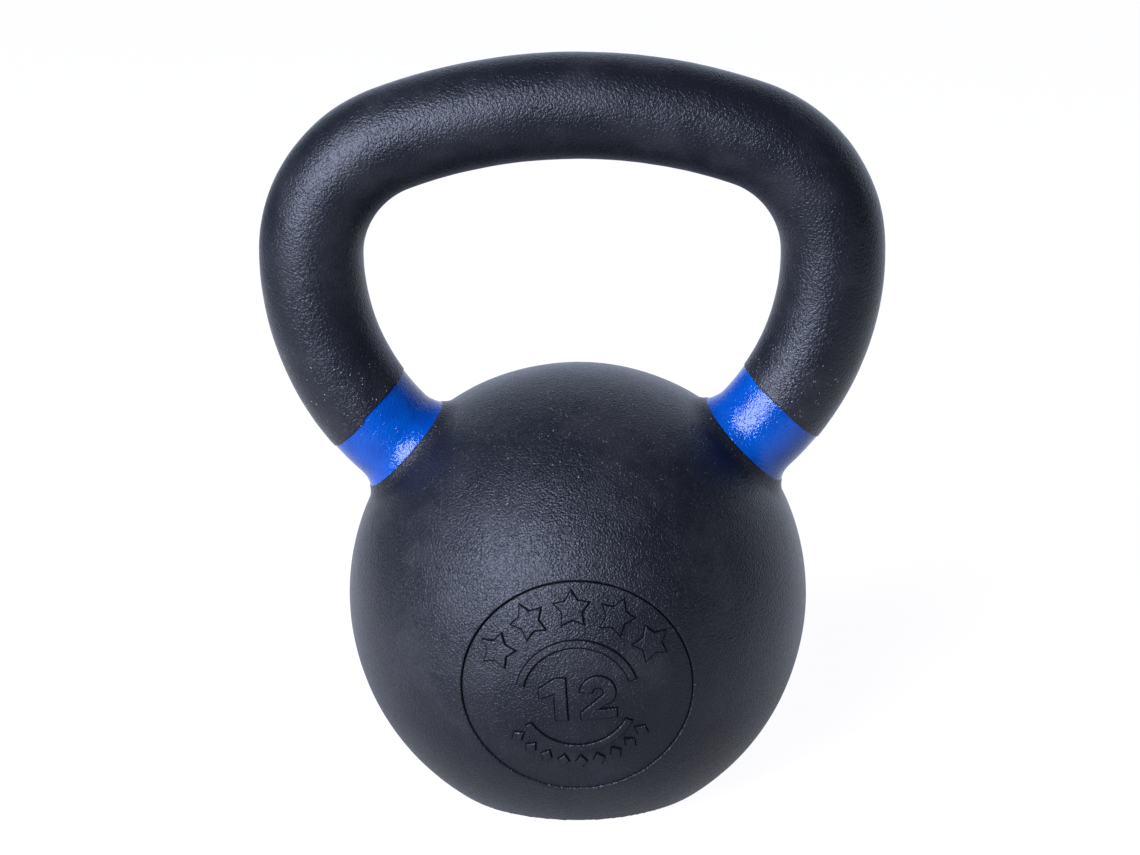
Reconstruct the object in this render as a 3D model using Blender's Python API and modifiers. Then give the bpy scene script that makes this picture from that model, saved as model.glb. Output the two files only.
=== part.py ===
"""A cast kettlebell: a ball with two short necks, a bowed bar handle, two colour bands and a front badge.

Metres, +Z up. The flat base lies on Z = 0 around the origin, the handle bows in the XZ plane
and the badge faces -Y. Every shape is worked out about the ball's centre; an empty lifts them
all to its height.
"""

from math import asin, atan2, cos, pi, radians, sin, sqrt

import bmesh
import bpy
from mathutils import Matrix, Vector

GAP = 0.0003  # clearance wherever two pieces meet

# Ball
BALL_RADIUS = 0.0698
CENTRE_HEIGHT = 0.0592  # the ball's centre above the flat base
BELLY_LATITUDE = radians(11)  # below this latitude the ball is fuller than a sphere
BELLY_EXTRA = 0.0036  # by how much the belly's arc has the longer radius
BASE_BEVEL = 0.0012

# Necks: the handle's two feet point at the ball's centre
NECK_ANGLE = radians(47.06)  # from the vertical
NECK_RADIUS = 0.0152
NECK_FILLET = 0.0091  # between neck and ball
SEAM = 0.0698  # from the ball's centre to the neck's top face, where the handle starts
SPIGOT_RADIUS = 0.0090
SPIGOT_LENGTH = 0.0170

# Handle: arcs from the neck upwards, as radius and the angle turned; the top one turns what is left
SIDE_RADIUS, SIDE_TURN = 0.0769, radians(48.4)
CORNER_RADIUS, CORNER_TURN = 0.0374, radians(69.0)
TOP_RADIUS = 0.1568
FOOT_RADIUS = 0.0155  # the bar's radius just above the bands
GRIP_RADIUS = 0.0157  # and at the middle of the grip

# Colour bands
BAND_LENGTH = 0.0159  # along the neck, from the seam
BAND_WALL = 0.0009

# Badge: a curved disc let into the ball's front
BADGE_ANGLE = radians(28.8)  # its half-angle, seen from the ball's centre
BADGE_THICKNESS = 0.0040
BADGE_RECESS = 0.0004  # the field lies this far below the ball's surface
BADGE_DROP = radians(7)  # it looks this far below the horizontal
BADGE_CLOCKING = radians(2.4)  # and is turned anticlockwise about its own axis
RELIEF = 0.0007  # height of the raised figures above the field
RELIEF_ROOT = 0.0010  # how deep they reach into the disc
FIGURE_HEIGHT = 0.0137  # the two figures of the weight
FIGURE_STROKE = 0.0036

BAR_SIDES = 28
BALL_STEPS = 48
ARC_STEP = radians(6)

IRON = ("black_powder_coat", (0.020, 0.022, 0.027), 0.45, 0.0)
ENAMEL = ("blue_enamel", (0.003, 0.055, 0.62), 0.22, 0.0)


# ---------- scene and materials ----------


def clear_scene():
    for item in list(bpy.data.objects):
        bpy.data.objects.remove(item, do_unlink=True)


def new_collection(name):
    collection = bpy.data.collections.new(name)
    bpy.context.scene.collection.children.link(collection)
    return collection


def material(name, colour, roughness, metallic):
    made = bpy.data.materials.new(name)
    made.use_nodes = True
    shader = made.node_tree.nodes["Principled BSDF"]
    shader.inputs["Base Color"].default_value = (*colour, 1)
    shader.inputs["Roughness"].default_value = roughness
    shader.inputs["Metallic"].default_value = metallic
    return made


def add_object(name, data, collection):
    item = bpy.data.objects.new(name, data)
    collection.objects.link(item)
    return item


def evaluated_copy(item):
    """The object's mesh with its modifiers or its bevel applied, its doubles merged; the object is removed."""
    bpy.context.view_layer.update()
    graph = bpy.context.evaluated_depsgraph_get()
    data = bpy.data.meshes.new_from_object(item.evaluated_get(graph))
    bpy.data.objects.remove(item, do_unlink=True)
    bm = bmesh.new()
    bm.from_mesh(data)
    bpy.data.meshes.remove(data)
    bmesh.ops.remove_doubles(bm, verts=bm.verts, dist=1e-6)
    bmesh.ops.recalc_face_normals(bm, faces=bm.faces)
    return bm


def to_object(bm, name, collection, parent=None, finish=None):
    data = bpy.data.meshes.new(name)
    bm.to_mesh(data)
    bm.free()
    data.shade_smooth()
    data.set_sharp_from_angle(angle=radians(30))
    item = add_object(name, data, collection)
    item.parent = parent
    if finish:
        data.materials.append(finish)
    return item


def as_cutter(item):
    item.hide_render = True
    item.display_type = "WIRE"
    return item


def boolean(item, other, operation):
    modifier = item.modifiers.new(operation.title(), "BOOLEAN")
    modifier.operation = operation
    modifier.solver = "EXACT"
    modifier.object = other


# ---------- basic shapes ----------


def turned(profile, steps, collection):
    """A profile of (radius, height) points, top to bottom along its outer side, turned about Z."""
    data = bpy.data.meshes.new("profile")
    edges = [(i, i + 1) for i in range(len(profile) - 1)]
    data.from_pydata([(radius, 0, height) for radius, height in profile], edges, [])
    item = add_object("profile", data, collection)
    screw = item.modifiers.new("Turn", "SCREW")
    screw.steps = screw.render_steps = steps
    screw.use_merge_vertices = True
    screw.merge_threshold = 1e-5
    return evaluated_copy(item)


def tube(stations, collection):
    """A round bar through (point, radius) stations, with capped ends."""
    curve = bpy.data.curves.new("tube", "CURVE")
    curve.dimensions = "3D"
    curve.bevel_depth = 1.0
    curve.bevel_resolution = (BAR_SIDES - 4) // 2
    curve.use_fill_caps = True
    spline = curve.splines.new("POLY")
    spline.points.add(len(stations) - 1)
    for point, (place, radius) in zip(spline.points, stations):
        point.co = (*place, 1)
        point.radius = radius
    return evaluated_copy(add_object("tube", curve, collection))


def arc_points(radius, start, end, centre=(0, 0), step=ARC_STEP):
    """Points (radius, height) on an arc; its angles run from the Z axis towards +X."""
    count = max(2, round(abs(end - start) / step))
    angles = [start + (end - start) * i / count for i in range(count + 1)]
    return [(centre[0] + radius * sin(a), centre[1] + radius * cos(a)) for a in angles]


def spread(start, end, count):
    return [start + (end - start) * i / count for i in range(count + 1)]


# ---------- the shared surfaces ----------


def fuller(point):
    """Moves a point of the plain ball out to the belly, whose arc meets the ball's own at BELLY_LATITUDE."""
    latitude = asin(max(-1, min(1, point.z / point.length))) if point.length else pi / 2
    if latitude >= BELLY_LATITUDE:
        return point
    back = -BELLY_EXTRA * cos(latitude - BELLY_LATITUDE)
    reach = back + sqrt(back**2 - BELLY_EXTRA**2 + (BALL_RADIUS + BELLY_EXTRA) ** 2)
    return point * (reach / BALL_RADIUS)


def make_fuller(bm):
    for vertex in bm.verts:
        vertex.co = fuller(vertex.co)


def fillet_centre():
    """The (radius, height) about the neck's axis of the centre of the fillet's arc."""
    radius = NECK_RADIUS + NECK_FILLET
    return radius, sqrt((BALL_RADIUS + NECK_FILLET) ** 2 - radius**2)


def neck_radius(height):
    """The neck's outer radius at a height above the ball's centre, along the neck's axis."""
    radius, top = fillet_centre()
    if height >= top:
        return NECK_RADIUS
    return radius - sqrt(NECK_FILLET**2 - (top - height) ** 2)


def handle_arcs():
    """The handle's arcs from the neck to the apex, as (radius, first heading, last heading)."""
    heading = pi / 2 - NECK_ANGLE
    side_end = heading + SIDE_TURN
    corner_end = side_end + CORNER_TURN
    return [
        (SIDE_RADIUS, heading, side_end),
        (CORNER_RADIUS, side_end, corner_end),
        (TOP_RADIUS, corner_end, pi),
    ]


def straight_length():
    """How far the straight neck runs past the seam before its first arc, so that the apex lies on X = 0."""
    drift = sum(radius * (sin(last) - sin(first)) for radius, first, last in handle_arcs())
    return -drift / sin(NECK_ANGLE) - SEAM


def half_length():
    return straight_length() + sum(radius * (last - first) for radius, first, last in handle_arcs())


def centreline(distance):
    """The point on the handle's right half that lies this far up its centreline from the seam."""
    straight = min(distance, straight_length())
    x = (SEAM + straight) * sin(NECK_ANGLE)
    z = (SEAM + straight) * cos(NECK_ANGLE)
    left = distance - straight
    for radius, first, last in handle_arcs():
        turn = min(left / radius, last - first)
        x += radius * (sin(first + turn) - sin(first))
        z += radius * (cos(first) - cos(first + turn))
        left -= turn * radius
    return Vector((x, 0, z))


# ---------- pieces ----------


def make_ball(parts, cutters, parent, finish):
    # One side is a ball turned about its neck, with the fillet, the neck's end and the spigot's socket.
    radius, top = fillet_centre()
    touch = atan2(radius, top)
    seam_angle = pi + asin((radius - neck_radius(SEAM)) / NECK_FILLET)
    socket = SPIGOT_RADIUS + GAP
    profile = [(0, SEAM - SPIGOT_LENGTH), (socket, SEAM - SPIGOT_LENGTH), (socket, SEAM)]
    fillet = arc_points(NECK_FILLET, seam_angle, pi + touch, (radius, top), radians(15))
    profile += fillet + arc_points(BALL_RADIUS, touch, pi)[1:]
    profile[-1] = (0, -BALL_RADIUS)
    bm = turned(profile, BALL_STEPS, cutters)
    bmesh.ops.rotate(bm, verts=bm.verts, matrix=Matrix.Rotation(NECK_ANGLE, 3, "Y"))
    everything = bm.verts[:] + bm.edges[:] + bm.faces[:]
    bmesh.ops.bisect_plane(bm, geom=everything, plane_co=(0, 0, 0), plane_no=(1, 0, 0), clear_inner=True)
    half = bm.verts[:] + bm.edges[:] + bm.faces[:]
    bmesh.ops.mirror(bm, geom=half, axis="X", merge_dist=1e-6)
    bmesh.ops.recalc_face_normals(bm, faces=bm.faces)
    make_fuller(bm)
    # The flat base.
    everything = bm.verts[:] + bm.edges[:] + bm.faces[:]
    base = (0, 0, -CENTRE_HEIGHT)
    bmesh.ops.bisect_plane(bm, geom=everything, plane_co=base, plane_no=(0, 0, 1), clear_inner=True)
    bmesh.ops.remove_doubles(bm, verts=bm.verts, dist=1e-6)
    rim = [edge for edge in bm.edges if edge.is_boundary]
    bmesh.ops.holes_fill(bm, edges=rim, sides=0)
    bmesh.ops.recalc_face_normals(bm, faces=bm.faces)
    bmesh.ops.bevel(bm, geom=rim, offset=BASE_BEVEL, segments=2, affect="EDGES", profile=0.5)
    ball = to_object(bm, "ball", parts, parent, finish)
    boolean(ball, make_badge_pocket(cutters, parent), "DIFFERENCE")


def badge_turn():
    return Matrix.Rotation(pi / 2 + BADGE_DROP, 3, "X") @ Matrix.Rotation(BADGE_CLOCKING, 3, "Z")


def curved_disc(half_angle, inner, outer, collection):
    """A disc of this half angle between two spheres about the ball's centre, its axis along +Z."""
    profile = arc_points(outer, 0, half_angle, step=ARC_STEP / 2)
    profile += arc_points(inner, half_angle, 0, step=ARC_STEP / 2)
    profile[0] = (0, outer)
    profile[-1] = (0, inner)
    return turned(profile, BALL_STEPS, collection)


def make_badge_pocket(cutters, parent):
    half_angle = BADGE_ANGLE + GAP / BALL_RADIUS
    floor = BALL_RADIUS - BADGE_RECESS - BADGE_THICKNESS - GAP
    bm = curved_disc(half_angle, floor, BALL_RADIUS * 1.1, cutters)
    bmesh.ops.rotate(bm, verts=bm.verts, matrix=badge_turn())
    make_fuller(bm)
    return as_cutter(to_object(bm, "badge_pocket", cutters, parent))


def flat_outline(points):
    """A closed outline in the XY plane as a mesh of one face."""
    bm = bmesh.new()
    bm.faces.new([bm.verts.new((x, y, 0)) for x, y in points])
    return bm


def ring_piece(radius, width, start, end):
    """A stretch of a flat ring, its angles measured from +X."""
    angles = spread(start, end, 20)
    outer = [((radius + width / 2) * cos(a), (radius + width / 2) * sin(a)) for a in angles]
    inner = [((radius - width / 2) * cos(a), (radius - width / 2) * sin(a)) for a in reversed(angles)]
    return flat_outline(outer + inner)


def star(tip, waist):
    """A five-pointed star, one point up."""
    corners = []
    for i in range(10):
        reach = waist if i % 2 else tip
        corners.append((reach * sin(pi * i / 5), reach * cos(pi * i / 5)))
    return flat_outline(corners)


def lozenge(width, height):
    return flat_outline([(width / 2, 0), (0, height / 2), (-width / 2, 0), (0, -height / 2)])


def figure_one():
    """The figure 1, standing on Y = 0 and centred across: a flag and a stem."""
    width, flag = 0.0080, 0.0033
    right, left = width / 2, -width / 2
    stem = right - FIGURE_STROKE
    top = FIGURE_HEIGHT
    return flat_outline(
        [
            (right, 0),
            (right, top),
            (stem + flag / 6, top),
            (left, top - flag),
            (left, top - 2 * flag),
            (stem, top - 1.5 * flag),
            (stem, 0),
        ]
    )


def figure_two():
    """The figure 2, standing on Y = 0 and centred across: a bow, a diagonal and a foot."""
    bow = 0.0052  # the bow's outer radius
    foot = 0.0030
    middle = FIGURE_HEIGHT - bow
    start, end = radians(175), radians(-38)
    outer = [(bow * cos(a), middle + bow * sin(a)) for a in spread(start, end, 14)]
    eye = bow - FIGURE_STROKE
    inner = [(eye * cos(a), middle + eye * sin(a)) for a in spread(end, start, 8)]
    feet = [(-bow + 1.35 * FIGURE_STROKE, foot), (bow, foot), (bow, 0), (-bow, 0), (-bow, foot * 0.8)]
    return flat_outline(outer + feet + inner)


def placed(bm, radius, angle):
    """Moves a figure out along +Y and turns it about Z, by an angle measured from +Y."""
    bmesh.ops.translate(bm, verts=bm.verts, vec=(0, radius, 0))
    bmesh.ops.rotate(bm, verts=bm.verts, matrix=Matrix.Rotation(angle, 3, "Z"))
    return bm


def raise_on_ball(bm):
    """Gives a flat figure its thickness and wraps it round the ball, about +Z."""
    flat = bm.faces[:]
    made = bmesh.ops.extrude_face_region(bm, geom=flat)["geom"]
    for vertex in bm.verts:
        vertex.co.z = -RELIEF_ROOT
    for vertex in (item for item in made if isinstance(item, bmesh.types.BMVert)):
        vertex.co.z = RELIEF
    field = BALL_RADIUS - BADGE_RECESS
    for vertex in bm.verts:
        reach = Vector((vertex.co.x, vertex.co.y)).length
        angle, heading = reach / field, atan2(vertex.co.y, vertex.co.x)
        height = field + vertex.co.z
        across = height * sin(angle)
        vertex.co = (across * cos(heading), across * sin(heading), height * cos(angle))
    bmesh.ops.triangulate(bm, faces=bm.faces)
    bmesh.ops.recalc_face_normals(bm, faces=bm.faces)


def badge_figures():
    """The badge's raised figures, flat: the weight in kilograms, two arcs, five stars and nine lozenges."""
    one, two = figure_one(), figure_two()
    bmesh.ops.translate(one, verts=one.verts, vec=(-0.0070, -FIGURE_HEIGHT / 2, 0))
    bmesh.ops.translate(two, verts=two.verts, vec=(0.0060, -FIGURE_HEIGHT / 2, 0))
    figures = [one, two]
    figures.append(ring_piece(0.0169, 0.0022, radians(15), radians(165)))
    figures.append(ring_piece(0.0169, 0.0022, radians(210), radians(330)))
    for i in range(5):
        figures.append(placed(star(0.0062, 0.0028), 0.0270, radians(28.6 * (i - 2))))
    for i in range(9):
        figures.append(placed(lozenge(0.0030, 0.0050), 0.0223, radians(180 + 13.6 * (i - 4))))
    return figures


def make_badge(parts, cutters, parent, finish):
    field = BALL_RADIUS - BADGE_RECESS
    bm = curved_disc(BADGE_ANGLE, field - BADGE_THICKNESS, field, cutters)
    disc = to_object(bm, "badge_disc", cutters)
    helpers = [disc]
    for i, figure in enumerate(badge_figures()):
        raise_on_ball(figure)
        helpers.append(to_object(figure, f"badge_figure_{i}", cutters))
        boolean(disc, helpers[-1], "UNION")
    bm = evaluated_copy(disc)
    for helper in helpers[1:]:
        bpy.data.objects.remove(helper, do_unlink=True)
    bmesh.ops.rotate(bm, verts=bm.verts, matrix=badge_turn())
    make_fuller(bm)
    to_object(bm, "badge", parts, parent, finish)


def handle_stations():
    """Distances up the right half, from the spigot's end to the apex, with the bar's radius at each."""
    core = NECK_RADIUS - BAND_WALL - GAP
    shoulder = BAND_LENGTH + GAP
    step = GAP / 3
    stations = [(2 * GAP - SPIGOT_LENGTH, SPIGOT_RADIUS), (GAP - step, SPIGOT_RADIUS), (GAP, core)]
    stations += [(distance, core) for distance in spread(GAP, shoulder - step, 6)[1:]]
    for distance in spread(shoulder, half_length(), 26):
        share = (distance - shoulder) / (half_length() - shoulder)
        stations.append((distance, FOOT_RADIUS + (GRIP_RADIUS - FOOT_RADIUS) * share))
    return stations


def make_handle(parts, parent, finish):
    right = [(centreline(distance), radius) for distance, radius in handle_stations()]
    left = [(Vector((-place.x, 0, place.z)), radius) for place, radius in right[-2::-1]]
    to_object(tube(right + left, parts), "handle", parts, parent, finish)


def make_bands(parts, cutters, parent, finish):
    distances = [GAP, 2 * GAP] + spread(GAP, BAND_LENGTH, 6)[1:-1] + [BAND_LENGTH - GAP, BAND_LENGTH]
    sleeve = tube([(centreline(d), neck_radius(SEAM + d)) for d in distances], cutters)
    bore = NECK_RADIUS - BAND_WALL
    longer = spread(-5 * GAP, BAND_LENGTH + 5 * GAP, 6)
    cutter = as_cutter(to_object(tube([(centreline(d), bore) for d in longer], cutters), "band_bore", cutters))
    right = to_object(sleeve, "right_band", cutters)
    boolean(right, cutter, "DIFFERENCE")
    right = to_object(evaluated_copy(right), "right_band", parts, parent, finish)
    cutter.parent = parent
    left = add_object("left_band", right.data, parts)
    left.parent = parent
    left.rotation_euler.z = pi  # a band is the same front and back, so half a turn mirrors it


def main():
    clear_scene()
    parts = new_collection("kettlebell")
    cutters = new_collection("cutters")
    centre = add_object("ball_centre", None, parts)
    centre.location.z = CENTRE_HEIGHT
    iron = material(*IRON)
    enamel = material(*ENAMEL)
    make_ball(parts, cutters, centre, iron)
    make_badge(parts, cutters, centre, iron)
    make_handle(parts, centre, iron)
    make_bands(parts, cutters, centre, enamel)


main()
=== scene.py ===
from math import asin, atan2, ceil, cos, pi, radians, sin, sqrt

import bmesh
import bpy
from mathutils import Matrix, Quaternion, Vector, noise


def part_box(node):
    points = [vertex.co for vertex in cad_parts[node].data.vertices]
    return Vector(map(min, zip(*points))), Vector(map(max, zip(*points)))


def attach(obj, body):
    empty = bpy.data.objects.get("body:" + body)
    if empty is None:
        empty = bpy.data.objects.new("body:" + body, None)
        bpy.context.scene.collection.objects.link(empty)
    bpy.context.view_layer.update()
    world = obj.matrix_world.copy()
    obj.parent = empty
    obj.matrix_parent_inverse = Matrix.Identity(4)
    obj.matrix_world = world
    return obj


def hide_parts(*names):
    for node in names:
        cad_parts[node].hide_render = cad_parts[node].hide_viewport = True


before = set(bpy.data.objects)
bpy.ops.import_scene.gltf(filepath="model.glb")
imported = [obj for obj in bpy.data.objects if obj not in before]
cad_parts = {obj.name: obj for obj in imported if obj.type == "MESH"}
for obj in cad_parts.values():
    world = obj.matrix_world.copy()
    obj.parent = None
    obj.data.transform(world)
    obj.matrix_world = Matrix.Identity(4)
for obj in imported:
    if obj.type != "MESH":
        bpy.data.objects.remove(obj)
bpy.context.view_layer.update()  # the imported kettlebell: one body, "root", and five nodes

# Metres. Shapes are worked out about the ball's centre and lifted to its height at the end.

ball = {
    "radius": 0.0698,
    "bellyLatitude": radians(11),  # below this the ball is fuller than a sphere
    "bellyExtra": 0.0036,
    "sides": 400,  # round the badge's axis
    "ringGap": 0.0011,
    "lip": 0.00035,  # rounding of the badge pocket's edge
    "baseBevel": 0.0014,
    "rimGap": 0.0005,  # vertices of the base's rim closer than this are joined
    "wave": 0.00012,  # how far the casting wanders from true
    "waveSize": 0.021,
    "lump": 0.00003,
    "lumpSize": 0.0050,
    "calmFrom": radians(14),  # the wandering starts this far from a neck's axis
    "calmFade": radians(10),
    "pocketSteps": 14,
    "cornerSteps": 5,
    "bevelSteps": 4,
}
neck = {
    "angle": radians(47.06),  # from the vertical
    "radius": 0.0152,
    "fillet": 0.0091,
    "seam": 0.0698,  # from the ball's centre to where the colour band starts
    "coat": 0.0002,  # rounding of the black coat's edge over the band
    "rebate": 0.0008,  # how deep the band's end is let in
    "socketRadius": 0.0093,
    "socketDepth": 0.0170,
    "columnGap": 0.0004,  # closest that two columns of the fillet stand
    "filletSteps": 10,
    "coatSteps": 6,
}
handle = {
    "arcs": [(0.0769, radians(48.4)), (0.0374, radians(69.0))],
    "topRadius": 0.1568,
    "footRadius": 0.0155,
    "coreRadius": 0.0140,
    "spigotRadius": 0.0090,
    "spigotLength": 0.0164,
    "coreStart": 0.0003,
    "coreGap": 0.0025,
    "sides": 176,
    "ringGap": 0.0008,
    "wave": 0.00010,
    "waveSize": 0.014,
    "lump": 0.00003,
    "lumpSize": 0.0032,
    "edgeWander": 0.00022,  # of the mask line where the coat stops
    "edgeSize": 0.0045,
    "edgeFade": 0.006,
    "tapeStep": 0.0009,  # where the masking tape overlapped, on the left foot
    "tapeFrom": radians(20),
    "tapeTo": radians(88),
}

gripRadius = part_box("handle")[1].y
centreHeight = round(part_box("ball")[1].z - ball["radius"], 4)


def fuller(point):
    # moves a point of the plain ball out to the belly's longer arc
    latitude = asin(max(-1, min(1, point.z / point.length)))
    if latitude >= ball["bellyLatitude"]:
        return point
    extra = ball["bellyExtra"]
    back = -extra * cos(latitude - ball["bellyLatitude"])
    reach = back + sqrt(back**2 - extra**2 + (ball["radius"] + extra) ** 2)
    return point * (reach / ball["radius"])


def ripple(point, sizes):
    # how far a cast surface wanders at a point: a long wave and a shorter lump
    return (
        sizes["wave"] * noise.noise(point / sizes["waveSize"])
        + sizes["lump"] * noise.noise(point / sizes["lumpSize"])
    )


def neckAxis(side):
    return Vector((side * sin(neck["angle"]), 0, cos(neck["angle"])))


def awayFromNecks(point):
    # 0 at the bands' seams, rising to 1 on the open ball
    nearest = min(point.angle(neckAxis(side)) for side in (-1, 1))
    share = max(0, min(1, (nearest - ball["calmFrom"]) / ball["calmFade"]))
    return share * share * (3 - 2 * share)


def castBall(bm):
    for vertex in bm.verts:
        point = fuller(vertex.co)
        swell = ripple(point, ball) * awayFromNecks(point)
        vertex.co = point * (1 + swell / point.length)


def filletCentre():
    radius = neck["radius"] + neck["fillet"]
    return radius, sqrt((ball["radius"] + neck["fillet"]) ** 2 - radius**2)


def neckRadius(height):
    radius, top = filletCentre()
    if height >= top:
        return neck["radius"]
    return radius - sqrt(neck["fillet"] ** 2 - (top - height) ** 2)


def handleArcs():
    # (radius, first heading, last heading) of each arc from the neck to the apex
    heading = pi / 2 - neck["angle"]
    arcs = []
    for radius, turn in handle["arcs"]:
        arcs.append((radius, heading, heading + turn))
        heading += turn
    return arcs + [(handle["topRadius"], heading, pi)]


barArcs = handleArcs()
barDrift = sum(radius * (sin(last) - sin(first)) for radius, first, last in barArcs)
barStraight = -barDrift / sin(neck["angle"]) - neck["seam"]  # so that the apex lies on X = 0
barHalf = barStraight + sum(radius * (last - first) for radius, first, last in barArcs)


def barPoint(distance, angle, radius):
    # distance runs from the right seam over the grip to the left one; angle 0 is the bar's outer side and
    # a quarter turn its front
    side = 1
    if distance > barHalf:
        side = -1
        distance = 2 * barHalf - distance
    straight = min(distance, barStraight)
    heading = pi / 2 - neck["angle"]
    x = (neck["seam"] + straight) * cos(heading)
    z = (neck["seam"] + straight) * sin(heading)
    left = distance - straight
    for arcRadius, first, last in barArcs:
        turn = min(left / arcRadius, last - first)
        heading = first + turn
        x += arcRadius * (sin(heading) - sin(first))
        z += arcRadius * (cos(first) - cos(heading))
        left -= turn * arcRadius
        if left < 1e-9:
            break
    x += radius * cos(angle) * sin(heading)
    z -= radius * cos(angle) * cos(heading)
    return Vector((side * x, -radius * sin(angle), z))


def everything(bm):
    return bm.verts[:] + bm.edges[:] + bm.faces[:]


def vertsOf(geometry):
    return [item for item in geometry if isinstance(item, bmesh.types.BMVert)]


def edgesOf(geometry):
    return [item for item in geometry if isinstance(item, bmesh.types.BMEdge)]


def drawTo(bm, vertex, x, z):
    made = bmesh.ops.extrude_vert_indiv(bm, verts=[vertex])
    made["verts"][0].co = (x, 0, z)
    return made["verts"][0]


def drawArc(bm, vertex, centre, angle, steps):
    made = bmesh.ops.spin(
        bm, geom=[vertex], cent=(centre[0], 0, centre[1]), axis=(0, 1, 0), angle=angle, steps=steps
    )
    return vertsOf(made["geom_last"])[0]


def turnAboutZ(bm, sides):
    bmesh.ops.spin(
        bm, geom=everything(bm), cent=(0, 0, 0), axis=(0, 0, 1), angle=2 * pi, steps=sides, use_merge=True
    )
    bmesh.ops.remove_doubles(bm, verts=bm.verts, dist=1e-6)
    bmesh.ops.recalc_face_normals(bm, faces=bm.faces)


def growRing(bm, loop, place):
    # extrudes an open edge loop and puts each new vertex where place says
    made = bmesh.ops.extrude_edge_only(bm, edges=loop)["geom"]
    for vertex in vertsOf(made):
        vertex.co = place(vertex)
    return edgesOf(made)


def finishPiece(bm, name, material):
    bmesh.ops.translate(bm, verts=bm.verts, vec=(0, 0, centreHeight))
    mesh = bpy.data.meshes.new(name)
    bm.to_mesh(mesh)
    bm.free()
    mesh.shade_smooth()
    mesh.set_sharp_from_angle(angle=radians(35))
    mesh.materials.append(material)
    piece = bpy.data.objects.new(name, mesh)
    bpy.context.scene.collection.objects.link(piece)
    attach(piece, "root")
    mesh.calc_loop_triangles()
    print(name, len(mesh.loop_triangles), "triangles")
    return piece


class Value:
    # a socket that can be added and multiplied like a number
    def __init__(self, shader, socket):
        self.shader = shader
        self.socket = socket

    def maths(self, operation, first, second):
        return self.shader.node("ShaderNodeMath", {"operation": operation}, {0: first, 1: second})

    def __add__(self, other):
        return self.maths("ADD", self, other)

    def __mul__(self, other):
        return self.maths("MULTIPLY", self, other)

    __radd__ = __add__
    __rmul__ = __mul__


class Shader:
    # the node tree of a material or a world, emptied and built up again
    def __init__(self, owner):
        owner.use_nodes = True
        self.tree = owner.node_tree
        self.tree.nodes.clear()

    def node(self, kind, settings=None, sockets=None, output=0):
        made = self.tree.nodes.new(kind)
        for name, value in (settings or {}).items():
            setattr(made, name, value)
        for name, value in (sockets or {}).items():
            if isinstance(value, Value):
                self.tree.links.new(value.socket, made.inputs[name])
            else:
                made.inputs[name].default_value = value
        return Value(self, made.outputs[output])

    def noise(self, place, size, detail=1.0, rough=0.5, distortion=0.0):
        return self.node(
            "ShaderNodeTexNoise",
            {"normalize": True},
            {
                "Vector": place,
                "Scale": 1 / size,
                "Detail": detail,
                "Roughness": rough,
                "Distortion": distortion,
            },
        )

    def between(self, value, low, high):
        # 0 at low, rising smoothly to 1 at high, whichever of the two is the larger
        return self.node(
            "ShaderNodeMapRange",
            {"interpolation_type": "SMOOTHSTEP"},
            {"Value": value, "From Min": low, "From Max": high},
        )

    def mixColour(self, factor, first, second):
        return self.node(
            "ShaderNodeMix",
            {"data_type": "RGBA", "blend_type": "MIX"},
            {0: factor, 6: first, 7: second},
            output=2,
        )

    def bump(self, height, distance, normal=None):
        sockets = {"Height": height, "Distance": distance, "Strength": 1.0}
        if normal:
            sockets["Normal"] = normal
        return self.node("ShaderNodeBump", {}, sockets)

    def finish(self, surface, kind="ShaderNodeOutputMaterial"):
        output = self.tree.nodes.new(kind)
        self.tree.links.new(surface.socket, output.inputs["Surface"])


coat = {
    "colour": (0.0065, 0.0070, 0.0090, 1),
    "dusty": (0.0200, 0.0195, 0.0210, 1),  # paler where the coat is thin or dusty
    "speck": (0.22, 0.22, 0.225, 1),  # pale flecks on the ball's crown
    "roughness": 0.25,
    "roughSpread": 0.12,
    "specular": 0.22,
    "peelSize": 0.00075,
    "peelHeight": 0.00029,
    "onBall": (1.2, 0.8),  # height and size of the peel, as a share of the two above
    "onHandle": (0.88, 1.0),
    "broadSize": 0.018,
    "fineSize": 0.00032,
    "fineHeight": 0.00007,
    "skew": (0.62, 0.41, 0.87),  # turns the texture's grid off the object's axes
    "speckGap": 0.0011,
    "speckGroup": 0.0030,
    "speckEdge": (0.17, 0.09),  # as shares of the gap between specks
    "speckShare": (0.48, 0.66),
    "dustShare": (0.42, 0.72),
    "dustDepth": 0.5,
    "speckFrom": 0.085,  # the specks thicken between these heights, and end between the next two
    "speckTo": 0.120,
    "speckEnd": 0.135,
    "speckGone": 0.145,
    "shade": (0.002, 0.002, 0.003, 1),  # painted shade, mixed in at the crease round a raised figure
    "shadeRoughness": 0.7,
    "shadeSpecular": 0.03,
}


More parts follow.
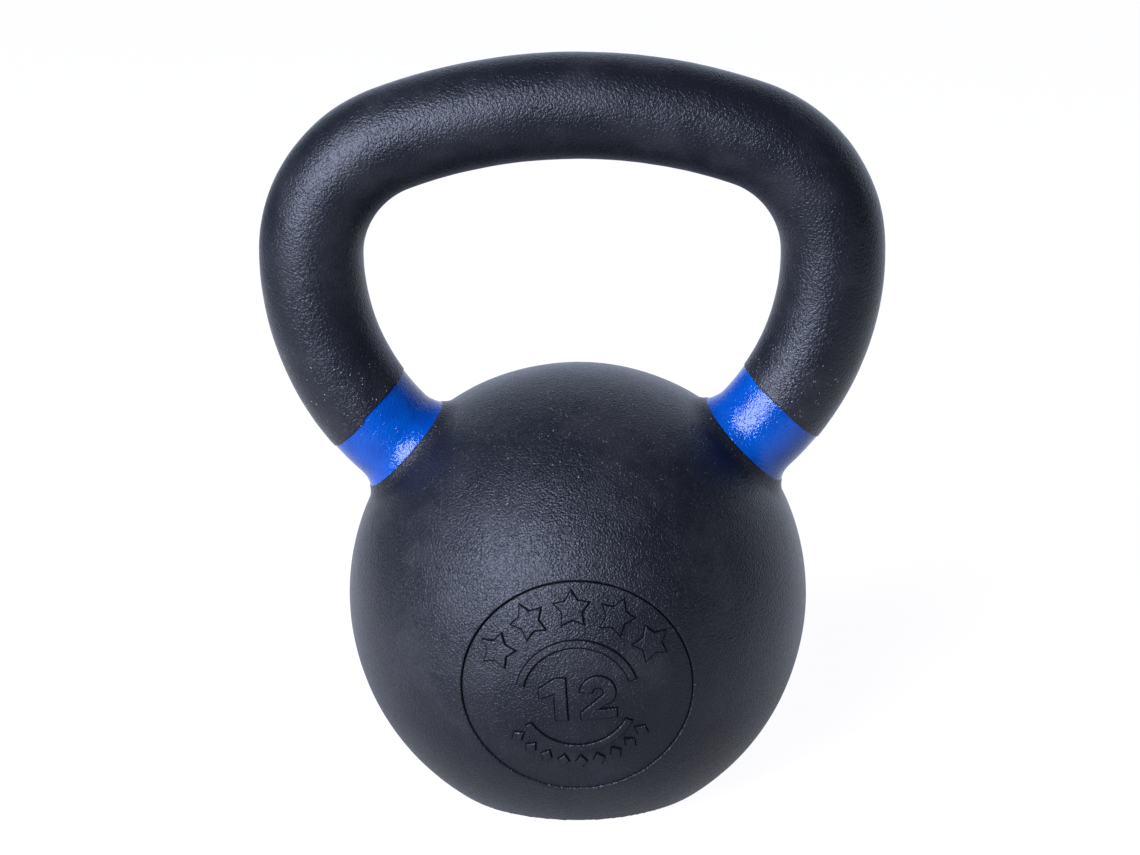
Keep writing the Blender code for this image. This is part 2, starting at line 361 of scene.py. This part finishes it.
def makeCoat(name, shares, creaseShaded=False):
    heightShare, sizeShare = shares
    material = bpy.data.materials.new(name)
    shader = Shader(material)
    place = shader.node("ShaderNodeTexCoord", output="Object")
    peelHeight = coat["peelHeight"] * heightShare
    peelSize = coat["peelSize"] * sizeShare
    skew = shader.node("ShaderNodeMapping", {}, {"Vector": place, "Rotation": coat["skew"]})
    peel = shader.noise(skew, peelSize, detail=1.0, rough=0.4, distortion=0.6)
    fine = shader.noise(skew, coat["fineSize"], detail=1.0, distortion=0.5)
    broad = shader.noise(place, coat["broadSize"], detail=3.0, rough=0.6)
    scale = 1 / coat["speckGap"]
    cells = shader.node("ShaderNodeTexVoronoi", {"feature": "F1"}, {"Vector": place, "Scale": scale})
    random = shader.noise(place, coat["speckGroup"], detail=0.0)
    height = shader.node("ShaderNodeSeparateXYZ", {}, {0: place}, output="Z")
    crown = shader.between(height, coat["speckFrom"], coat["speckTo"])
    crown = crown * shader.between(height, coat["speckGone"], coat["speckEnd"])
    specks = shader.between(cells, *coat["speckEdge"]) * shader.between(random, *coat["speckShare"])
    dust = shader.between(broad, *coat["dustShare"]) * coat["dustDepth"]
    colour = shader.mixColour(dust, coat["colour"], coat["dusty"])
    colour = shader.mixColour(specks * crown, colour, coat["speck"])
    normal = shader.bump(peel, peelHeight)
    normal = shader.bump(fine, coat["fineHeight"], normal)
    roughness = coat["roughness"] + coat["roughSpread"] * broad
    surface = shader.node(
        "ShaderNodeBsdfPrincipled",
        {},
        {
            "Base Color": colour,
            "Roughness": roughness,
            "Normal": normal,
            "Specular IOR Level": coat["specular"],
        },
    )
    # painted shade: a dark, dull coat mixed in at each figure's foot by the crease layer
    if creaseShaded:
        creaseShade = shader.node("ShaderNodeAttribute", {"attribute_name": "creaseShade"}, output="Fac")
        shade = shader.node(
            "ShaderNodeBsdfPrincipled",
            {},
            {
                "Base Color": coat["shade"],
                "Roughness": coat["shadeRoughness"],
                "Specular IOR Level": coat["shadeSpecular"],
            },
        )
        surface = shader.node("ShaderNodeMixShader", {}, {0: creaseShade, 1: surface, 2: shade})
    shader.finish(surface)
    return material


enamel = {
    "colour": (0.0005, 0.042, 0.205, 1),
    "deep": (0.0004, 0.032, 0.175, 1),
    "deepShare": (0.35, 0.75),
    "roughness": 0.09,
    "roughSpread": 0.06,
    "broadSize": 0.006,
    "peelSize": 0.00075,
    "peelHeight": 0.00019,
    "specular": 0.29,
}


def makeEnamel():
    material = bpy.data.materials.new("blueEnamel")
    shader = Shader(material)
    place = shader.node("ShaderNodeTexCoord", output="Object")
    peel = shader.noise(place, enamel["peelSize"], detail=1.0, rough=0.4, distortion=0.8)
    broad = shader.noise(place, enamel["broadSize"], detail=2.0)
    depth = shader.between(broad, *enamel["deepShare"])
    colour = shader.mixColour(depth, enamel["colour"], enamel["deep"])
    surface = shader.node(
        "ShaderNodeBsdfPrincipled",
        {},
        {
            "Base Color": colour,
            "Roughness": enamel["roughness"] + enamel["roughSpread"] * broad,
            "Normal": shader.bump(peel, enamel["peelHeight"]),
            "Specular IOR Level": enamel["specular"],
        },
    )
    shader.finish(surface)
    return material


def badgeTurn():
    return Matrix.Rotation(pi / 2 + badge["drop"], 3, "X") @ Matrix.Rotation(badge["clocking"], 3, "Z")


def arcSteps(length, gap):
    return max(2, ceil(length / gap))


def ballProfile(bm):
    # from the middle of the badge's pocket, over its lip, round to the back of the ball
    radius, lip = ball["radius"], ball["lip"]
    floor = radius - badge["recess"] - badge["thickness"] - badge["gap"]
    wall = badge["halfAngle"] + badge["gap"] / radius
    lipTurn = wall + asin(lip / (radius - lip))
    pen = bm.verts.new((0, 0, floor))
    pen = drawArc(bm, pen, (0, 0), wall, ball["pocketSteps"])
    brow = (radius - lip) * cos(lipTurn - wall)
    pen = drawTo(bm, pen, brow * sin(wall), brow * cos(wall))
    lipCentre = ((radius - lip) * sin(lipTurn), (radius - lip) * cos(lipTurn))
    pen = drawArc(bm, pen, lipCentre, pi / 2 + lipTurn - wall, ball["cornerSteps"])
    drawArc(bm, pen, (0, 0), pi - lipTurn, arcSteps((pi - lipTurn) * radius, ball["ringGap"]))


def neckStations():
    # the (radius, height) of each ring from the fillet's foot to the socket's floor
    radius, top = filletCentre()
    fillet, seam, coatEdge = neck["fillet"], neck["seam"], neck["coat"]
    foot = atan2(top, radius)
    rim = neckRadius(seam)
    last = asin((top - seam + coatEdge) / fillet)
    stations = []
    for i in range(1, neck["filletSteps"] + 1):
        a = foot + (last - foot) * i / neck["filletSteps"]
        stations.append((radius - fillet * cos(a), top - fillet * sin(a)))
    for i in range(1, neck["coatSteps"] + 1):  # the coat's rounded edge
        a = last + (pi - last) * i / neck["coatSteps"]
        stations.append((rim - coatEdge + coatEdge * cos(a), seam - coatEdge + coatEdge * sin(a)))
    stations.append((rim - 2 * coatEdge, seam - neck["rebate"]))
    stations.append((neck["socketRadius"], seam - neck["rebate"]))
    stations.append((neck["socketRadius"], seam - neck["socketDepth"]))
    return stations


def joinAtRim(bm, gap):
    # joins what a cut left crowded; sorted by place, so that every run joins the same vertices
    rim = [vertex for vertex in bm.verts if vertex.is_boundary]
    near = {other for vertex in rim for edge in vertex.link_edges for other in edge.verts}
    near = sorted(near, key=lambda vertex: tuple(vertex.co))
    bmesh.ops.remove_doubles(bm, verts=near, dist=gap)


def openNeck(bm, side):
    axis = neckAxis(side)
    radius, top = filletCentre()
    touch = atan2(radius, top)
    height = ball["radius"] * cos(touch)
    bmesh.ops.bisect_plane(
        bm, geom=everything(bm), dist=1e-6, plane_co=axis * height, plane_no=axis, clear_outer=True
    )
    joinAtRim(bm, neck["columnGap"])

    def ringPlace(ringRadius, ringHeight):
        def place(vertex):
            outward = vertex.co - axis * vertex.co.dot(axis)
            return axis * ringHeight + outward.normalized() * ringRadius

        return place

    settle = ringPlace(ball["radius"] * sin(touch), height)
    for vertex in bm.verts:
        if vertex.is_boundary:
            vertex.co = settle(vertex)
    loop = [edge for edge in bm.edges if edge.is_boundary]
    for ringRadius, ringHeight in neckStations():
        loop = growRing(bm, loop, ringPlace(ringRadius, ringHeight))
    bmesh.ops.edgeloop_fill(bm, edges=loop)


def makeBall(material):
    bm = bmesh.new()
    ballProfile(bm)
    turnAboutZ(bm, ball["sides"])
    bmesh.ops.rotate(bm, verts=bm.verts, matrix=badgeTurn())
    for side in (-1, 1):
        openNeck(bm, side)
    bmesh.ops.recalc_face_normals(bm, faces=bm.faces)
    castBall(bm)
    bmesh.ops.bisect_plane(
        bm,
        geom=everything(bm),
        dist=1e-6,
        plane_co=(0, 0, -centreHeight),
        plane_no=(0, 0, -1),
        clear_outer=True,
    )
    joinAtRim(bm, ball["rimGap"])
    for vertex in bm.verts:
        if vertex.is_boundary:
            vertex.co.z = -centreHeight
    rim = [edge for edge in bm.edges if edge.is_boundary]
    bmesh.ops.edgeloop_fill(bm, edges=rim)
    bmesh.ops.recalc_face_normals(bm, faces=bm.faces)
    bmesh.ops.bevel(
        bm,
        geom=rim,
        offset=ball["baseBevel"],
        offset_type="OFFSET",
        affect="EDGES",
        segments=ball["bevelSteps"],
        profile=0.5,
        material=-1,
        clamp_overlap=False,
    )
    piece = finishPiece(bm, "ballBody", material)
    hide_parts("ball")
    return piece


band = {
    "length": 0.0159,
    "wall": 0.0012,
    "sink": 0.00025,  # how far the enamel lies under the coat at the seam
    "tuck": 0.0005,  # how far each end runs under the coat
    "tiltMean": 0.00120,  # the mask line runs askew: nearer the ball outside, farther up the bar inside
    "tilt": 0.00220,
    "tiltStart": 0.002,  # the tilt grows from here to the mask line, and fades up the bar over tiltFade
    "tiltFade": 0.014,
    "sides": 320,
    "ringGap": 0.0004,
    "peel": 0.000012,
    "peelSize": 0.0011,
}


def spread(first, last, gap):
    count = arcSteps(abs(last - first), gap)
    return [first + (last - first) * i / count for i in range(count + 1)]


def sweep(bm, stations, sides, place):
    # a ring at each (distance, radius) station; every vertex keeps how far round the bar it lies
    around = bm.verts.layers.float.new("around")
    circle = bmesh.ops.create_circle(bm, segments=sides, radius=1)["verts"]
    for vertex in circle:
        vertex[around] = atan2(vertex.co.y, vertex.co.x)
        vertex.co = place(stations[0][0], vertex[around], stations[0][1])
    first = loop = bm.edges[:]
    for distance, radius in stations[1:]:
        loop = growRing(bm, loop, lambda vertex: place(distance, vertex[around], radius))
    return first, loop


def shoulderStations():
    # up the right foot, from the spigot's end, along the core under the band, round the coat's edge
    edge, foot = neck["coat"], handle["footRadius"]
    start = band["length"]
    core = handle["coreStart"]
    pocket = start + 4 * edge  # the band's end is tucked in up to here
    stations = [(-handle["spigotLength"], handle["spigotRadius"]), (core, handle["spigotRadius"])]
    stations += [(distance, handle["coreRadius"]) for distance in spread(core, pocket, handle["coreGap"])]
    stations += [(pocket, foot - 2 * edge), (start + edge, foot - 2 * edge)]
    for i in range(1, neck["coatSteps"] + 1):
        a = pi * i / neck["coatSteps"]
        stations.append((start + edge - edge * sin(a), foot - edge - edge * cos(a)))
    return stations


def maskTilt(angle):
    return band["tiltMean"] - band["tilt"] * cos(angle)


def edgeShift(distance, angle, outer):
    # how far the mask line stands from a plain ring, fading out under the band and up the bar
    end = 2 * barHalf
    side = 1 if distance < end / 2 else -1
    fromSeam = distance if side > 0 else end - distance
    past = fromSeam - band["length"]
    if past < 0:
        return side * maskTilt(angle) * max(0, 1 + past / (band["length"] - band["tiltStart"]))
    tilt = maskTilt(angle) * max(0, 1 - past / band["tiltFade"])
    if not outer:
        return side * tilt
    place = Vector((cos(angle), sin(angle), 3 * side)) * handle["footRadius"] / handle["edgeSize"]
    shift = handle["edgeWander"] * noise.noise(place)
    if side < 0 and handle["tapeFrom"] < angle < handle["tapeTo"]:
        shift -= handle["tapeStep"]
    return side * (tilt + shift * max(0, 1 - past / handle["edgeFade"]))


def makeHandle(material):
    shoulder = shoulderStations()
    end = 2 * barHalf
    start = shoulder[-1][0]
    grip = []
    for distance in spread(start, end - start, handle["ringGap"])[1:-1]:
        share = 1 - abs(distance - end / 2) / (end / 2 - start)
        grip.append((distance, handle["footRadius"] + (gripRadius - handle["footRadius"]) * share))
    stations = shoulder + grip + [(end - distance, radius) for distance, radius in reversed(shoulder)]

    def place(distance, angle, radius):
        outer = radius > handle["footRadius"] - 3 * neck["coat"]
        distance += edgeShift(distance, angle, outer)
        point = barPoint(distance, angle, radius)
        if not outer:
            return point
        swell = ripple(point, handle)
        return barPoint(distance, angle, radius + swell)

    bm = bmesh.new()
    first, last = sweep(bm, stations, handle["sides"], place)
    bmesh.ops.edgeloop_fill(bm, edges=first)
    bmesh.ops.edgeloop_fill(bm, edges=last)
    bmesh.ops.recalc_face_normals(bm, faces=bm.faces)
    piece = finishPiece(bm, "handleBar", material)
    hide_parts("handle")
    return piece


def makeBand(side, name, node, material):
    length, tuck = band["length"], band["tuck"]

    def outer(distance):
        share = max(0, min(1, distance / length))
        return neckRadius(neck["seam"] + max(distance, 0)) - band["sink"] * (1 - share)

    bore = outer(length) - band["wall"]
    stations = [(distance, outer(distance)) for distance in spread(-tuck, length + tuck, band["ringGap"])]
    stations += [(length + tuck, bore), (-tuck, bore)]

    def place(distance, angle, radius):
        distance += maskTilt(angle) * max(0, min(1, distance / length))
        if side < 0:
            distance = 2 * barHalf - distance
        point = barPoint(distance, angle, radius)
        if radius < outer(length) - band["wall"] / 2:
            return point
        return barPoint(distance, angle, radius + band["peel"] * noise.noise(point / band["peelSize"]))

    bm = bmesh.new()
    first, last = sweep(bm, stations, band["sides"], place)
    bmesh.ops.bridge_loops(bm, edges=first + last)
    bmesh.ops.recalc_face_normals(bm, faces=bm.faces)
    piece = finishPiece(bm, name, material)
    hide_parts(node)
    return piece


badge = {
    "halfAngle": radians(28.8),
    "thickness": 0.0040,
    "recess": 0.0004,
    "drop": radians(7),
    "clocking": radians(2.4),
    "gap": 0.0003,
    "edge": 0.0004,
    "sides": 360,
    "ringGap": 0.0006,
    "backSteps": 14,
    "cornerSteps": 5,
}


def makeBadgeDisc(material):
    field = ball["radius"] - badge["recess"]
    edge, half = badge["edge"], badge["halfAngle"]
    edgeTurn = half - asin(edge / (field - edge))
    bm = bmesh.new()
    pen = bm.verts.new((0, 0, field))
    pen = drawArc(bm, pen, (0, 0), edgeTurn, arcSteps(edgeTurn * field, badge["ringGap"]))
    edgeCentre = ((field - edge) * sin(edgeTurn), (field - edge) * cos(edgeTurn))
    pen = drawArc(bm, pen, edgeCentre, pi / 2 + half - edgeTurn, badge["cornerSteps"])
    back = field - badge["thickness"]
    pen = drawTo(bm, pen, back * sin(half), back * cos(half))
    drawArc(bm, pen, (0, 0), -half, badge["backSteps"])
    turnAboutZ(bm, badge["sides"])
    bmesh.ops.rotate(bm, verts=bm.verts, matrix=badgeTurn())
    castBall(bm)
    piece = finishPiece(bm, "badgeDisc", material)
    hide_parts("badge")
    return piece


figure = {
    "root": 0.0010,  # how deep a raised figure reaches into the disc
    "foot": 0.00040,  # how far its foot flares past its outline
    "steps": [  # inset and rise of each step, from the foot to the top
        (0.00012, 0.00005),
        (0.00028, 0.00001),
        (0.00004, 0.00014),
        (0.00004, 0.00022),
        (0.00006, 0.00013),
        (0.00009, 0.00008),
        (0.00013, 0.00004),
        (0.00010, 0.0),
    ],
    "creaseShadeFrom": 0.00001,  # the foot gets painted shade from this height, fully up to the next, then fading out
    "creaseShadeFull": 0.00018,
    "creaseShadeEnd": 0.00040,
    "slice": 0.0009,  # how wide the strips are that let a figure bend round the ball
    "sliceShift": 0.000013,  # keeps the cuts off the outlines' own corners
    "sunk": 0.00003,  # how deep the foot's rim lies under the disc's face
    "height": 0.0137,  # of the digits
    "stroke": 0.0036,
    "oneWidth": 0.0080,
    "oneFlag": 0.0033,
    "oneShift": -0.0070,
    "twoBow": 0.0052,
    "twoFoot": 0.0030,
    "twoFrom": radians(175),
    "twoTo": radians(-38),
    "twoShift": 0.0060,
    "twoSteps": (18, 10),  # round the outside and the inside of its bow
    "arcRadius": 0.0169,
    "arcWidth": 0.0022,
    "arcSteps": 36,
    "upperArc": (radians(15), radians(165)),
    "lowerArc": (radians(210), radians(330)),
    "starTip": 0.0056,
    "starWaist": 0.0031,
    "starRadius": 0.0270,
    "starSpacing": radians(28.6),
    "stars": 5,
    "lozenge": (0.0034, 0.0047),
    "lozengeRadius": 0.0223,
    "lozengeSpacing": radians(13.6),
    "lozenges": 9,
}


def flatFace(points):
    # a flat figure starts as a chain of edges through its corners, closed into one face
    bm = bmesh.new()
    first = pen = bm.verts.new((*points[0], 0))
    for x, y in points[1:]:
        pen = bmesh.ops.extrude_vert_indiv(bm, verts=[pen])["verts"][0]
        pen.co = (x, y, 0)
    bmesh.ops.contextual_create(bm, geom=[first, pen])
    bmesh.ops.edgeloop_fill(bm, edges=bm.edges[:])
    bmesh.ops.recalc_face_normals(bm, faces=bm.faces)
    for face in bm.faces:
        if face.normal.z < 0:
            face.normal_flip()
    return bm


def roundPoints(radius, first, last, steps, height=0.0):
    turns = [first + (last - first) * i / steps for i in range(steps + 1)]
    return [(radius * cos(a), height + radius * sin(a)) for a in turns]


def figureOne():
    width, flag, top = figure["oneWidth"], figure["oneFlag"], figure["height"]
    right, left = width / 2, -width / 2
    stem = right - figure["stroke"]
    return [
        (right, 0),
        (right, top),
        (stem + flag / 6, top),
        (left, top - flag),
        (left, top - 2 * flag),
        (stem, top - 1.5 * flag),
        (stem, 0),
    ]


def figureTwo():
    bow, foot, stroke = figure["twoBow"], figure["twoFoot"], figure["stroke"]
    first, last = figure["twoFrom"], figure["twoTo"]
    middle = figure["height"] - bow
    outerSteps, innerSteps = figure["twoSteps"]
    outer = roundPoints(bow, first, last, outerSteps, middle)
    inner = roundPoints(bow - stroke, last, first, innerSteps, middle)
    feet = [(-bow + 1.35 * stroke, foot), (bow, foot), (bow, 0), (-bow, 0), (-bow, foot * 0.8)]
    return outer + feet + inner


def ringPiece(first, last):
    radius, half = figure["arcRadius"], figure["arcWidth"] / 2
    steps = figure["arcSteps"]
    return roundPoints(radius + half, first, last, steps) + roundPoints(radius - half, last, first, steps)


def star():
    reach = [figure["starTip"], figure["starWaist"]]
    return [(reach[i % 2] * sin(pi * i / 5), reach[i % 2] * cos(pi * i / 5)) for i in range(10)]


def lozenge():
    width, height = figure["lozenge"]
    return [(width / 2, 0), (0, height / 2), (-width / 2, 0), (0, -height / 2)]


def creaseShadeAt(rise):
    if rise < figure["creaseShadeFrom"]:
        return 0
    fall = (figure["creaseShadeEnd"] - rise) / (figure["creaseShadeEnd"] - figure["creaseShadeFull"])
    return max(0, min(1, fall))


def raiseFigure(points, move):
    # gives a flat outline its foot, wall and rounded shoulder, and slices it fine enough to wrap
    bm = flatFace(points)
    bmesh.ops.transform(bm, matrix=move, verts=bm.verts)
    ring = bmesh.ops.inset_individual(bm, faces=bm.faces[:], thickness=-figure["foot"], use_even_offset=True)
    bmesh.ops.delete(bm, geom=ring["faces"], context="FACES")
    bmesh.ops.translate(bm, verts=bm.verts, vec=(0, 0, -figure["root"]))
    top = bm.faces[:]
    back = bmesh.ops.duplicate(bm, geom=bm.faces[:])["geom"]
    bmesh.ops.reverse_faces(bm, faces=[item for item in back if isinstance(item, bmesh.types.BMFace)])
    for inset, rise in [(0, figure["root"] - figure["sunk"])] + figure["steps"]:
        bmesh.ops.inset_individual(bm, faces=top, thickness=inset, depth=rise, use_even_offset=True)
    bmesh.ops.remove_doubles(bm, verts=bm.verts, dist=1e-7)
    reach = max(abs(c) for vertex in bm.verts for c in vertex.co.xy)
    count = ceil(reach / figure["slice"])
    for axis in ((1, 0, 0), (0, 1, 0)):
        for i in range(-count, count + 1):
            bmesh.ops.bisect_plane(
                bm,
                geom=everything(bm),
                dist=1e-6,
                plane_co=Vector(axis) * (i * figure["slice"] + figure["sliceShift"]),
                plane_no=axis,
            )
    bmesh.ops.triangulate(bm, faces=[face for face in bm.faces if len(face.verts) > 4])
    # how much painted shade each vertex gets in the crease at the figure's foot
    creaseShade = bm.verts.layers.float.new("creaseShade")
    for vertex in bm.verts:
        vertex[creaseShade] = creaseShadeAt(vertex.co.z)
    return bm


def wrapOnBall(bm):
    field = ball["radius"] - badge["recess"]
    for vertex in bm.verts:
        x, y, rise = vertex.co
        angle, heading = sqrt(x * x + y * y) / field, atan2(y, x)
        height = field + rise
        vertex.co = (
            height * sin(angle) * cos(heading),
            height * sin(angle) * sin(heading),
            height * cos(angle),
        )
    bmesh.ops.rotate(bm, verts=bm.verts, matrix=badgeTurn())
    castBall(bm)


def makeFigures(name, outlines, material):
    whole = bmesh.new()
    for points, move in outlines:
        bm = raiseFigure(points, move)
        wrapOnBall(bm)
        scratch = bpy.data.meshes.new("scratch")  # carries each figure over, with its layer of painted crease shade
        bm.to_mesh(scratch)
        bm.free()
        whole.from_mesh(scratch)
        bpy.data.meshes.remove(scratch)
    bmesh.ops.recalc_face_normals(whole, faces=whole.faces)
    return finishPiece(whole, name, material)


def ringMove(radius, angle):
    # out along +Y, then turned about the badge's axis
    return Matrix.Rotation(angle, 4, "Z") @ Matrix.Translation((0, radius, 0))


def makeBadgeFigures(material):
    drop = -figure["height"] / 2
    weight = [
        (figureOne(), Matrix.Translation((figure["oneShift"], drop, 0))),
        (figureTwo(), Matrix.Translation((figure["twoShift"], drop, 0))),
    ]
    still = Matrix.Identity(4)
    arcs = [
        (ringPiece(*figure["upperArc"]), still),
        (ringPiece(*figure["lowerArc"]), still),
    ]
    stars = []
    for i in range(figure["stars"]):
        turn = figure["starSpacing"] * (i - figure["stars"] // 2)
        stars.append((star(), ringMove(figure["starRadius"], turn)))
    lozenges = []
    for i in range(figure["lozenges"]):
        turn = pi + figure["lozengeSpacing"] * (i - figure["lozenges"] // 2)
        lozenges.append((lozenge(), ringMove(figure["lozengeRadius"], turn)))
    for name, outlines in (
        ("badgeWeight", weight),
        ("badgeArcs", arcs),
        ("badgeStars", stars),
        ("badgeLozenges", lozenges),
    ):
        makeFigures(name, outlines, material)


studio = {
    "sheetFrom": (-0.62, -0.27),  # the pale sheet's corners on the floor
    "sheetTo": (0.70, 1.60),
    "sheetAlbedo": 0.10,
    "sheetGlow": (0.957, 0.955, 0.970, 1),
    "sheetSides": (0.90, 0.96, 1.12, 1),  # how bright the sheet is to the kettlebell, by where it lies
    "sheetMiddle": (0.05, 0.14),  # half widths between which the dimmer strip ends
    "sheetTurn": (0.10, -0.02),  # depths between which its back gives way to its front
    "sheetFar": (0.40, 0.70),  # depths between which the strip ends behind
    "sheetFront": (0.42, 0.44, 0.50, 1),
    "sheetBack": (0.22, 0.24, 0.32, 1),
    "backdrop": (1.00, 1.13, 1.45, 1),
    "backdropLean": (0.95, 0.30),  # how far its middle lies back, and to the right
    "backdropEdge": (0.40, 0.85),
    "backdropTop": (0.80, 0.55),
    "room": (0.02, 0.022, 0.03, 1),
    "paper": (0.995, 0.995, 0.995, 1),  # what the camera sees past the sheet
    "keyAzimuth": radians(-36),
    "keyElevation": radians(23),
    "keyDistance": 1.3,
    "keySize": 1.0,
    "keyPower": 56,
    "keyColour": (0.93, 1.02, 1.38),
    "keyAim": (0, 0, 0.10),
}


def makeFloor():
    bm = bmesh.new()
    bmesh.ops.create_grid(bm, x_segments=1, y_segments=1, size=0.5)
    (left, front), (right, back) = studio["sheetFrom"], studio["sheetTo"]
    bmesh.ops.scale(bm, verts=bm.verts, vec=(right - left, back - front, 1))
    bmesh.ops.translate(bm, verts=bm.verts, vec=((left + right) / 2, (front + back) / 2, 0))
    mesh = bpy.data.meshes.new("floor")
    bm.to_mesh(mesh)
    bm.free()
    material = bpy.data.materials.new("paleSheet")
    shader = Shader(material)
    albedo = studio["sheetAlbedo"]
    place = shader.node("ShaderNodeTexCoord", output="Object")
    depth = shader.node("ShaderNodeSeparateXYZ", {}, {0: place}, output="Y")
    across = shader.node("ShaderNodeSeparateXYZ", {}, {0: place}, output="X")
    turn = shader.between(depth, *studio["sheetTurn"])
    middle = shader.mixColour(turn, studio["sheetBack"], studio["sheetFront"])
    inner, outer = studio["sheetMiddle"]
    aside = shader.between(across * across, inner**2, outer**2)
    beyond = shader.between(depth, *studio["sheetFar"])
    thrown = shader.mixColour(aside + beyond, middle, studio["sheetSides"])
    seen = shader.node("ShaderNodeLightPath", output="Is Camera Ray")
    glow = shader.mixColour(seen, thrown, studio["sheetGlow"])
    surface = shader.node(
        "ShaderNodeBsdfPrincipled",
        {},
        {
            "Base Color": (albedo, albedo, albedo, 1),
            "Roughness": 0.9,
            "Specular IOR Level": 0.0,
            "Emission Color": glow,
            "Emission Strength": 1.0,
        },
    )
    shader.finish(surface)
    mesh.materials.append(material)
    floor = bpy.data.objects.new("floor", mesh)
    bpy.context.scene.collection.objects.link(floor)


def makeWorld():
    # a lit backdrop behind the kettlebell and a dark room everywhere else
    world = bpy.data.worlds.new("studioWorld")
    bpy.context.scene.world = world
    shader = Shader(world)
    heading = shader.node("ShaderNodeTexCoord", output="Generated")
    across = shader.node("ShaderNodeSeparateXYZ", {}, {0: heading}, output="X")
    depth = shader.node("ShaderNodeSeparateXYZ", {}, {0: heading}, output="Y")
    height = shader.node("ShaderNodeSeparateXYZ", {}, {0: heading}, output="Z")
    forward, sideways = studio["backdropLean"]
    behind = shader.between(depth * forward + across * sideways, *studio["backdropEdge"])
    low = shader.between(height, *studio["backdropTop"])
    light = shader.mixColour(behind * low, studio["room"], studio["backdrop"])
    seen = shader.node("ShaderNodeLightPath", output="Is Camera Ray")
    colour = shader.mixColour(seen, light, studio["paper"])
    background = shader.node("ShaderNodeBackground", {}, {"Color": colour})
    shader.finish(background, "ShaderNodeOutputWorld")


def aimedAt(item, place, target):
    item.location = place
    item.rotation_mode = "QUATERNION"
    item.rotation_quaternion = (Vector(target) - Vector(place)).to_track_quat("-Z", "Y")


def direction(azimuth, elevation):
    # from the object towards a camera or a lamp
    return Vector((sin(azimuth) * cos(elevation), -cos(azimuth) * cos(elevation), sin(elevation)))


def addKeySoftbox():
    lamp = bpy.data.lights.new("keySoftbox", "AREA")
    lamp.shape = "SQUARE"
    lamp.size = studio["keySize"]
    lamp.energy = studio["keyPower"]
    lamp.color = studio["keyColour"]
    item = bpy.data.objects.new("keySoftbox", lamp)
    bpy.context.scene.collection.objects.link(item)
    target = Vector(studio["keyAim"])
    away = direction(studio["keyAzimuth"], studio["keyElevation"])
    aimedAt(item, target + away * studio["keyDistance"], target)


view = {
    "azimuth": radians(0.55),
    "elevation": radians(20.03),
    "distance": 1.0116,
    "aimSide": -0.0015,
    "aimUp": 0.05196,
    "roll": radians(0.994),
    "lens": 103.9,
}


def makeCamera():
    data = bpy.data.cameras.new("camera")
    data.lens = view["lens"]
    data.sensor_width = 36
    camera = bpy.data.objects.new("camera", data)
    bpy.context.scene.collection.objects.link(camera)
    centre = Vector((0, 0, centreHeight))
    place = centre + direction(view["azimuth"], view["elevation"]) * view["distance"]
    aimedAt(camera, place, centre + Vector((view["aimSide"], 0, view["aimUp"])))
    camera.rotation_quaternion @= Quaternion((0, 0, 1), -view["roll"])
    bpy.context.scene.camera = camera


coatOnBall = makeCoat("powderCoat", coat["onBall"])
# the badge's raised figures carry painted shade in the crease at their feet
coatWithCreaseShade = makeCoat("powderCoatBadgeCreaseShade", coat["onBall"], creaseShaded=True)
coatOnHandle = makeCoat("powderCoatHandle", coat["onHandle"])
blueEnamel = makeEnamel()
print("finishes done")
makeBall(coatOnBall)
makeBadgeDisc(coatOnBall)
makeBadgeFigures(coatWithCreaseShade)
makeHandle(coatOnHandle)
makeBand(1, "rightBand", "right_band", blueEnamel)
makeBand(-1, "leftBand", "left_band", blueEnamel)
makeFloor()
makeWorld()
addKeySoftbox()
makeCamera()
scene = bpy.context.scene
scene.view_settings.view_transform = "Standard"
print("studio done")
